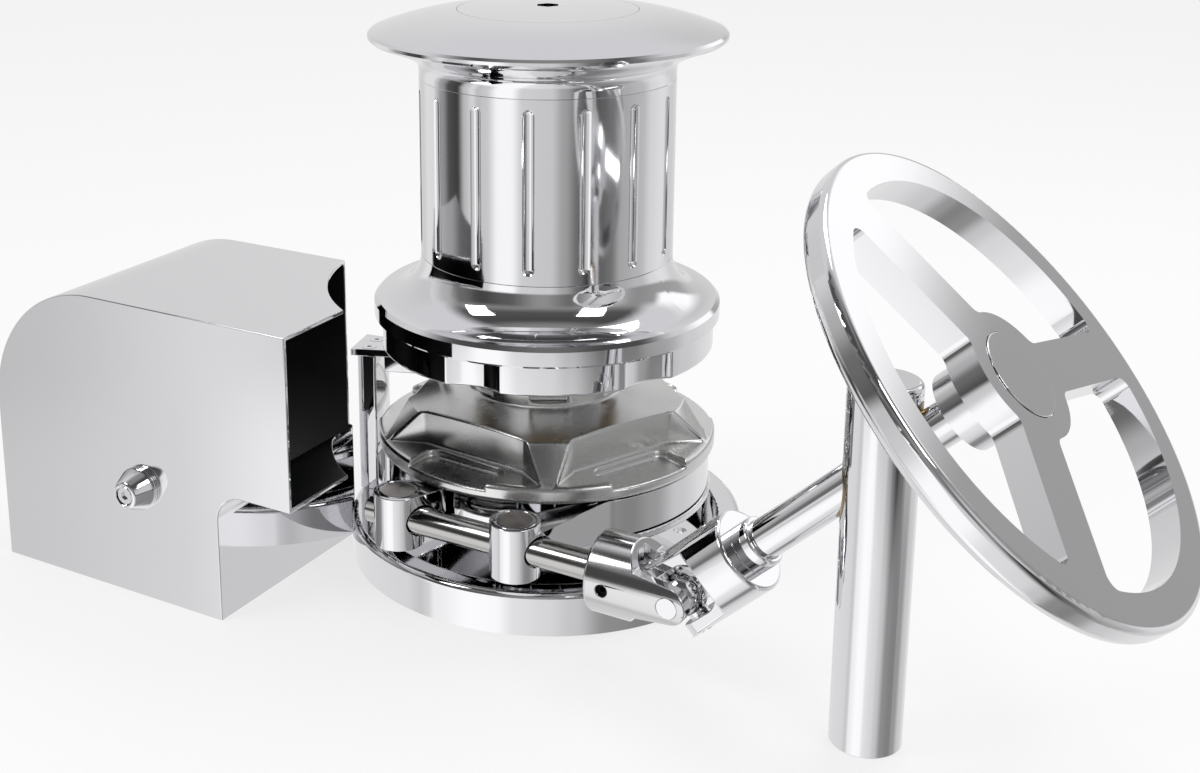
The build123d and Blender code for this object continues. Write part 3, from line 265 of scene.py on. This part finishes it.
# White paper that glows a little towards the camera. Mirrors see a near floor of their own,
# and past it the cards.
floorMaterial, tree = newMaterial("paperFloor")
paper = addNode(tree, "ShaderNodeBsdfDiffuse",
                {"Color": toLinear(studioSettings["floorColour"])})
glow = addNode(tree, "ShaderNodeEmission", {"Color": wall, "Strength": 1.0})
path = addNode(tree, "ShaderNodeLightPath").outputs
portion = addNode(tree, "ShaderNodeMath",
                  {"operation": "MULTIPLY", 1: studioSettings["floorGlow"]},
                  {0: path["Is Camera Ray"]})
plain = mixShaders(tree, portion.outputs[0], paper, glow)
spot = addNode(tree, "ShaderNodeTexCoord").outputs["Object"]
reach = addNode(tree, "ShaderNodeVectorMath", {"operation": "LENGTH"}, {0: spot})
beyond = rising(tree, [limit * mm for limit in studioSettings["nearReach"]],
                reach.outputs["Value"])
incoming = addNode(tree, "ShaderNodeNewGeometry").outputs["Incoming"]
away = addNode(tree, "ShaderNodeVectorMath", {"operation": "SCALE", "Scale": -1.0}, {0: incoming})
parts = addNode(tree, "ShaderNodeSeparateXYZ", links={0: away.outputs[0]}).outputs
near = addNode(tree, "ShaderNodeEmission", {"Strength": studioSettings["strength"]},
               {"Color": roundRamp(tree, "nearFloor", compassShare(tree, parts["X"], parts["Y"]))})
through = addNode(tree, "ShaderNodeBsdfTransparent")
reflected = mixShaders(tree, beyond, near, through)
finishMaterial(tree, mixShaders(tree, path["Is Glossy Ray"], plain, reflected))
floor.data.materials.append(floorMaterial)

lampSettings = [
    {"name": "overhead", "place": (300, 900, 2200), "aim": (0, 0, 200), "size": 900, "power": 12},
    {"name": "leftWindow", "place": (-1150, -1450, 1850), "aim": (0, 0, 200), "size": 800,
     "power": 10},
    {"name": "rightWindow", "place": (1750, -500, 1850), "aim": (200, 0, 200), "size": 800,
     "power": 10},
]
for lamp in lampSettings:
    data = bpy.data.lights.new(lamp["name"], "AREA")
    data.size = lamp["size"] * mm
    data.energy = lamp["power"]
    light = bpy.data.objects.new(lamp["name"], data)
    bpy.context.collection.objects.link(light)
    light.location = Vector(lamp["place"]) * mm
    beam = Vector(lamp["aim"]) * mm - light.location
    light.rotation_euler = beam.to_track_quat("-Z", "Y").to_euler()
bpy.context.scene.view_settings.view_transform = "Standard"


print("materials")


def smudges(tree, coordinates, low, high, size):
    # faint wipe marks: roughness drifts between two values over a hand's width
    noise = addNode(tree, "ShaderNodeTexNoise",
                    {"Scale": 1000 / size, "Detail": 3.0, "Roughness": 0.6},
                    {"Vector": coordinates})
    drift = addNode(tree, "ShaderNodeMapRange",
                    {"From Min": 0.3, "From Max": 0.7, "To Min": low, "To Max": high},
                    {"Value": noise.outputs["Fac"]})
    return drift.outputs[0]


def groovedNormal(tree, vector, spacing, depth, strength=1.0):
    # machining lines or grain: noise that changes only along the given vector
    noise = addNode(tree, "ShaderNodeTexNoise",
                    {"Scale": 1000 / spacing, "Detail": 2.0, "Roughness": 0.7},
                    {"Vector": vector})
    bump = addNode(tree, "ShaderNodeBump", {"Strength": strength, "Distance": depth * mm},
                   {"Height": noise.outputs["Fac"]})
    return bump.outputs[0]


def polishedStainless():
    # 316 stainless, buffed to a mirror: clean reflections, a trace of waviness from the buffing
    settings = {"colour": "#E4E4E6", "roughness": (0.025, 0.06), "smudge": 70.0,
                "wave": 26.0, "waveDepth": 0.012, "waveStrength": 0.35}
    material, tree = newMaterial("mirrorPolishedStainless")
    place = addNode(tree, "ShaderNodeTexCoord").outputs["Object"]
    rough = smudges(tree, place, *settings["roughness"], settings["smudge"])
    noise = addNode(tree, "ShaderNodeTexNoise",
                    {"Scale": 1000 / settings["wave"], "Detail": 1.0}, {"Vector": place})
    bump = addNode(tree, "ShaderNodeBump",
                   {"Strength": settings["waveStrength"], "Distance": settings["waveDepth"] * mm},
                   {"Height": noise.outputs["Fac"]})
    shader = addNode(tree, "ShaderNodeBsdfPrincipled",
                     {"Base Color": toLinear(settings["colour"]), "Metallic": 1.0},
                     {"Roughness": rough, "Normal": bump.outputs[0]})
    finishMaterial(tree, shader)
    return material


turnedSettings = {
    # light buffing over the lathe marks
    "barrel": {"name": "turnedBarrelStainless", "colour": "#E0E0E2", "roughness": (0.06, 0.09),
               "spacing": 1.0, "depth": 0.0015, "stretch": 0.5},
    # cast and blasted, then skimmed: soft grey, hardly any rings
    "gypsy": {"name": "castGypsyStainless", "colour": "#DADAD9", "roughness": (0.22, 0.3),
              "spacing": 1.8, "depth": 0.005, "stretch": 0.3},
    # straight off the lathe
    "turned": {"name": "turnedStainless", "colour": "#C6C6C5", "roughness": (0.16, 0.24),
               "spacing": 1.3, "depth": 0.008, "stretch": 0.6},
    # ground bar, darker between its highlights
    "screw": {"name": "turnedScrewStainless", "colour": "#BDBCBA", "roughness": (0.1, 0.16),
              "spacing": 1.0, "depth": 0.005, "stretch": 0.6, "centre": screwLine, "axis": "X"},
    # turned, then buffed
    "yoke": {"name": "turnedYokeStainless", "colour": "#D4D4D5", "roughness": (0.09, 0.14),
             "spacing": 1.0, "depth": 0.004, "stretch": 0.6, "centre": screwLine, "axis": "X"},
    # faced ends: rings that fan the light out like a record
    "nutDisc": {"name": "facedNutStainless", "colour": "#B9B3B1", "roughness": (0.26, 0.34),
                "spacing": 0.9, "depth": 0.012, "stretch": 0.85,
                "centre": (*trunnionAt["nut_trunnion"], 0)},
    "plainDisc": {"name": "facedTrunnionStainless", "colour": "#B9B3B1",
                  "roughness": (0.26, 0.34), "spacing": 0.9, "depth": 0.012, "stretch": 0.85,
                  "centre": (*trunnionAt["plain_trunnion"], 0)},
}
turnedSmudge = 30.0


def turnedStainless(settings):
    # fine rings about the axis draw the light out across them
    material, tree = newMaterial(settings["name"])
    axis = settings.get("axis", "Z")
    spin = (1, 0, 0) if axis == "X" else (0, 0, 1)
    centre = [c * mm for c in settings.get("centre", (0, 0, 0))]
    place = addNode(tree, "ShaderNodeTexCoord").outputs["Object"]
    local = addNode(tree, "ShaderNodeVectorMath", {"operation": "SUBTRACT", 1: centre}, {0: place})
    flat = addNode(tree, "ShaderNodeVectorMath",
                   {"operation": "MULTIPLY", 1: [1 - s for s in spin]}, {0: local.outputs[0]})
    radius = addNode(tree, "ShaderNodeVectorMath", {"operation": "LENGTH"}, {0: flat.outputs[0]})
    along = addNode(tree, "ShaderNodeSeparateXYZ", links={0: local.outputs[0]})
    rings = addNode(tree, "ShaderNodeCombineXYZ",
                    links={0: radius.outputs["Value"], 1: along.outputs[axis]})
    normal = groovedNormal(tree, rings.outputs[0], settings["spacing"], settings["depth"])
    rough = smudges(tree, place, *settings["roughness"], turnedSmudge)
    tangent = addNode(tree, "ShaderNodeVectorMath", {"operation": "CROSS_PRODUCT", 0: spin},
                      {1: flat.outputs[0]})
    turning = addNode(tree, "ShaderNodeVectorTransform",
                      {"vector_type": "VECTOR", "convert_from": "OBJECT", "convert_to": "WORLD"},
                      {0: tangent.outputs[0]})
    shader = addNode(tree, "ShaderNodeBsdfPrincipled",
                     {"Base Color": toLinear(settings["colour"]), "Metallic": 1.0,
                      "Anisotropic": settings["stretch"]},
                     {"Roughness": rough, "Normal": normal, "Tangent": turning.outputs[0]})
    finishMaterial(tree, shader)
    return material


def paintedShadeBlack():
    # painted shade: near-black satin on the inside of the sheet stands in for the shade in the
    # hood's cavity; soft sheen, fine spray texture
    settings = {"colour": "#141517", "roughness": (0.32, 0.45), "smudge": 40.0,
                "grain": 1.2, "depth": 0.05, "bump": 0.3, "IOR": 1.5}
    material, tree = newMaterial("paintedShadeSatinBlack")
    place = addNode(tree, "ShaderNodeTexCoord").outputs["Object"]
    rough = smudges(tree, place, *settings["roughness"], settings["smudge"])
    normal = groovedNormal(tree, place, settings["grain"], settings["depth"], settings["bump"])
    shader = addNode(tree, "ShaderNodeBsdfPrincipled",
                     {"Base Color": toLinear(settings["colour"]), "IOR": settings["IOR"]},
                     {"Roughness": rough, "Normal": normal})
    finishMaterial(tree, shader)
    return material


plainSettings = {
    # burnt black set screws: almost no colour, dull
    "darkSteel": {"name": "blackenedSteel", "colour": "#1C1C1D", "metallic": 1.0,
                  "roughness": (0.35, 0.5), "grain": 1.5, "depth": 0.02},
    # bearing bronze: warm, machined
    "bronze": {"name": "bearingBronze", "colour": "#A08A62", "metallic": 1.0,
               "roughness": (0.25, 0.35), "grain": 1.2, "depth": 0.02},
    # woven brake lining set in resin: brown, fully matt
    "lining": {"name": "wovenBrakeLining", "colour": "#4A3F35", "metallic": 0.0,
               "roughness": (0.75, 0.9), "grain": 1.4, "depth": 0.2},
    # nitrile seal: black, slightly glossy
    "rubber": {"name": "nitrileRubber", "colour": "#1A1A1A", "metallic": 0.0,
               "roughness": (0.5, 0.65), "grain": 1.5, "depth": 0.03},
}
plainSmudge, plainBump, darkerTint, tintGrains = 25.0, 0.6, 0.75, 6


def plainFinish(settings):
    # one recipe for the small hidden pieces: a grain of real size and a little uneven gloss
    material, tree = newMaterial(settings["name"])
    grain, colour = settings["grain"], toLinear(settings["colour"])
    place = addNode(tree, "ShaderNodeTexCoord").outputs["Object"]
    rough = smudges(tree, place, *settings["roughness"], plainSmudge)
    normal = groovedNormal(tree, place, grain, settings["depth"], plainBump)
    noise = addNode(tree, "ShaderNodeTexNoise",
                    {"Scale": 1000 / (grain * tintGrains), "Detail": 3.0}, {"Vector": place})
    tint = addNode(tree, "ShaderNodeMix",
                   {"data_type": "RGBA", 6: colour, 7: [c * darkerTint for c in colour]},
                   {0: noise.outputs["Fac"]})
    shader = addNode(tree, "ShaderNodeBsdfPrincipled", {"Metallic": settings["metallic"]},
                     {"Base Color": tint.outputs[2], "Roughness": rough, "Normal": normal})
    finishMaterial(tree, shader)
    return material


materials = {"polished": polishedStainless()}
materials.update({name: turnedStainless(settings) for name, settings in turnedSettings.items()})
materials["black"] = paintedShadeBlack()
materials.update({name: plainFinish(settings) for name, settings in plainSettings.items()})

# Every piece that isn't named here is mirror polished.
finishOf = {
    "gypsy": "gypsy", "barrel": "barrel", "main_shaft": "turned", "anchor_pin": "turned",
    "drum_key": "turned", "chain_pipe": "turned", "hood_bracket": "turned", "post_plug": "turned",
    "brake_screw": "screw", "screw_yoke_set_screw": "darkSteel",
    "shaft_yoke_set_screw": "darkSteel", "screw_yoke": "yoke", "lower_bush": "bronze",
    "gypsy_bush": "bronze", "thrust_washer": "bronze", "clutch_cone": "bronze",
    "post_bush": "bronze", "fixed_lining": "lining", "live_lining": "lining",
    "shaft_seal": "rubber",
}
for name, node in nodes.items():
    node.data.materials.clear()
    node.data.materials.append(materials[finishOf.get(name, "polished")])


print("broken edges")
# Width in millimetres of the small round that each machined or pressed edge is given.
edgeWidths = {
    "hood": 0.9, "clutch_ring": 0.8, "screw_yoke": 0.8, "shaft_yoke": 0.8, "plain_trunnion": 0.8,
    "nut_trunnion": 0.8, "fixed_band": 0.5, "live_band": 0.5, "gypsy": 1.6, "shaft_collar": 0.6,
    "stripper_post": 0.6, "stripper_arm": 0.6, "stripper_finger": 0.6, "post": 0.8,
    "knob_washer": 0.4,
}
# An edge counts as sharp from sharpFrom degrees. Facets within flatBelow are joined first.
edgeSettings = {"merge": 0.002, "flatBelow": 0.5, "sharpFrom": 34, "segments": 2, "smoothBelow": 50}
# The notch of the hood opens wider than the base just beside its mouth.
hoodNotch = {"centre": (8, -38), "radius": 158.5, "from": 98, "to": 250, "facets": 160}


def roundCutter(settings):
    bpy.ops.object.select_all(action="DESELECT")
    low, high = settings["from"] * mm, settings["to"] * mm
    bpy.ops.mesh.primitive_cylinder_add(vertices=settings["facets"],
                                        radius=settings["radius"] * mm, depth=high - low)
    cutter = bpy.context.object
    x, y = settings["centre"]
    cutter.data.transform(Matrix.Translation((x * mm, y * mm, (low + high) / 2)))
    return cutter


def brokenEdges(name, width):
    mesh = nodes[name].data.copy()
    piece = bpy.data.objects.new(name + "Dressed", mesh)
    bpy.context.collection.objects.link(piece)
    if "custom_normal" in mesh.attributes:
        mesh.attributes.remove(mesh.attributes["custom_normal"])
    work = bmesh.new()
    work.from_mesh(mesh)
    bmesh.ops.remove_doubles(work, verts=work.verts, dist=edgeSettings["merge"] * mm)
    bmesh.ops.dissolve_limit(work, angle_limit=math.radians(edgeSettings["flatBelow"]),
                             verts=work.verts, edges=work.edges)
    work.to_mesh(mesh)
    work.free()
    if name == "hood":
        cutAway(piece, roundCutter(hoodNotch))
    makeActive(piece)
    sharpFrom = math.radians(edgeSettings["sharpFrom"])
    bpy.ops.object.shade_smooth_by_angle(angle=sharpFrom)
    bevel = piece.modifiers.new("edgeRound", "BEVEL")
    bevel.width = width * mm
    bevel.segments = edgeSettings["segments"]
    bevel.limit_method = "ANGLE"
    bevel.angle_limit = sharpFrom
    bevel.use_clamp_overlap = False
    bpy.ops.object.modifier_apply(modifier=bevel.name)
    bpy.ops.object.shade_smooth_by_angle(angle=math.radians(edgeSettings["smoothBelow"]))
    weigh = piece.modifiers.new("flatFaces", "WEIGHTED_NORMAL")
    weigh.keep_sharp = True
    bpy.ops.object.modifier_apply(modifier=weigh.name)
    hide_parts(name)
    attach(piece, bodyOf[name])
    return piece


dressed = {name: brokenEdges(name, width) for name, width in edgeWidths.items()}


print("hood painted shade")
# The pressed hood is coloured black, as painted shade, wherever its sheet faces the middle of the
# cavity.
hoodMiddle = Vector((-225, -157, 150)) * mm
hood = dressed["hood"]
hood.data.materials.append(materials["black"])
for face in hood.data.polygons:
    if face.normal.dot(hoodMiddle - face.center) > 0:
        face.material_index = 1


print("trunnion discs")
# Faced discs let into the top of both trunnions, each inside a thin polished land.
discSettings = {
    "radius": 13.4, "rise": 0.12, "facets": 96,
    "finish": {"plain_trunnion": "plainDisc", "nut_trunnion": "nutDisc"},
}
for name, finish in discSettings["finish"].items():
    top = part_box(name)[1][2]
    bpy.ops.object.select_all(action="DESELECT")
    bpy.ops.mesh.primitive_cylinder_add(vertices=discSettings["facets"],
                                        radius=discSettings["radius"] * mm,
                                        depth=2 * discSettings["rise"] * mm)
    disc = bpy.context.object
    disc.name = name + "Disc"
    x, y = trunnionAt[name]
    disc.data.transform(Matrix.Translation((x * mm, y * mm, top)))
    disc.data.materials.append(materials[finish])
    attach(disc, bodyOf[name])


print("hood knob")
# A turned cone with a socket screw sunk in its face. A profile point is the radius and the
# distance out from the washer on the hood's near side.
knobSettings = {
    "centre": (-219, 93), "start": -247.2, "facets": 96,
    "cone": [(0, 0), (16.0, 0), (16.8, 0.7), (17.0, 2.2), (16.4, 3.6), (11.3, 15.2),
             (10.6, 16.2), (9.6, 16.7), (8.5, 16.7), (8.1, 16.3), (8.1, 13.6), (0, 13.6)],
    "head": [(0, 13.7), (7.2, 13.7), (7.2, 15.5), (6.7, 16.0), (0, 16.0)],
    "socketRadius": 3.6, "socketDepth": 1.8,
    "coneSmoothBelow": 40, "headSmoothBelow": 30,
}


def turnedPiece(name, profile):
    x, z = [c * mm for c in knobSettings["centre"]]
    work = bmesh.new()
    points = [work.verts.new((x + radius * mm, (knobSettings["start"] - out) * mm, z))
              for radius, out in profile]
    lines = [work.edges.new(pair) for pair in zip(points, points[1:])]
    bmesh.ops.spin(work, geom=points + lines, cent=(x, 0, z), axis=(0, 1, 0), angle=2 * math.pi,
                   steps=knobSettings["facets"], use_merge=True)
    bmesh.ops.remove_doubles(work, verts=work.verts, dist=edgeSettings["merge"] * mm)
    bmesh.ops.recalc_face_normals(work, faces=work.faces)
    mesh = bpy.data.meshes.new(name)
    work.to_mesh(mesh)
    work.free()
    piece = bpy.data.objects.new(name, mesh)
    bpy.context.collection.objects.link(piece)
    makeActive(piece)
    mesh.materials.append(materials["polished"])
    return piece


knobCone = turnedPiece("knobCone", knobSettings["cone"])
bpy.ops.object.shade_smooth_by_angle(angle=math.radians(knobSettings["coneSmoothBelow"]))
knobHead = turnedPiece("knobScrewHead", knobSettings["head"])
front = knobSettings["start"] - knobSettings["head"][-1][1]
bpy.ops.mesh.primitive_cylinder_add(vertices=6, radius=knobSettings["socketRadius"] * mm,
                                    depth=2 * knobSettings["socketDepth"] * mm)
socket = bpy.context.object
x, z = knobSettings["centre"]
socketPlace = Matrix.Translation((x * mm, front * mm, z * mm))
socket.data.transform(socketPlace @ Matrix.Rotation(math.pi / 2, 4, "X"))
cutAway(knobHead, socket)
bpy.ops.object.shade_smooth_by_angle(angle=math.radians(knobSettings["headSmoothBelow"]))
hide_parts("hood_knob")
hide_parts("knob_screw")
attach(knobCone, bodyOf["hood_knob"])
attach(knobHead, bodyOf["knob_screw"])

print("pieces", len(nodes))
